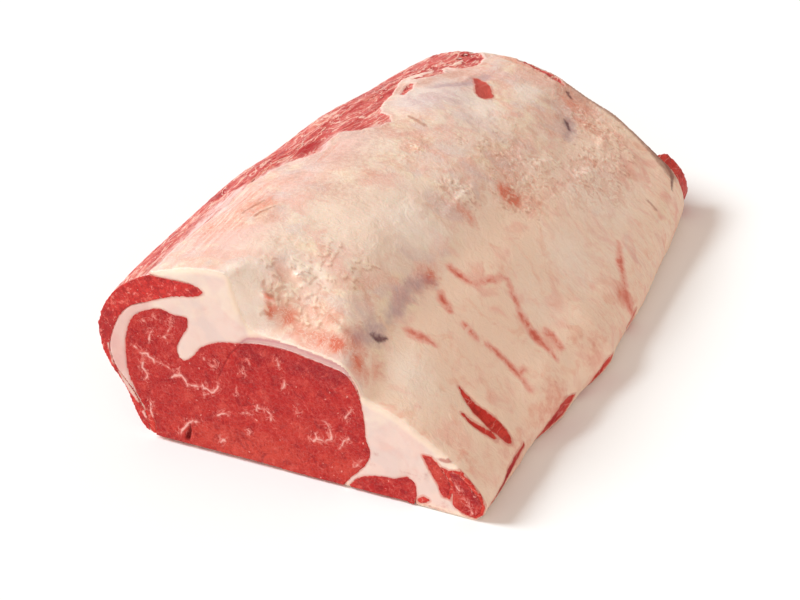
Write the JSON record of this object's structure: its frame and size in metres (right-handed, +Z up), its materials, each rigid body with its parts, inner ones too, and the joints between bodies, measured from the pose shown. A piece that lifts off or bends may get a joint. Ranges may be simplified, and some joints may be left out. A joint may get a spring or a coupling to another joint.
{
  "type": "raw beef rib roast",
  "caption": "Boneless raw beef rib roast with its lip left on: a large red eye of lean under a domed cream fat cover that thins to one side, cut square at both ends.",
  "frame": {"origin": "on the flat underside, under the middle of the roast's outline", "axes": "+X from the chine (backbone) side to the thin lip, +Y from the loin end, whose cut face has the big eye, to the lower chuck end, +Z up"},
  "size_m": [0.2624, 0.412, 0.1301],
  "materials": {
    "eye_lean": "moist raw lean beef, fine marbling",
    "cap_lean": "moist raw lean beef, coarse grain, brighter red",
    "strap_lean": "moist raw lean beef",
    "fat": "smooth raw beef fat, cream on the outside and pinkish white where it is cut"
  },
  "bodies": {
    "root": {"rib_eye": "eye_lean", "cap_muscle": "cap_lean", "side_strap": "strap_lean", "lip_strap": "strap_lean", "lip_edge": "strap_lean", "fat_cover": "fat"}
  },
  "joints": []
}
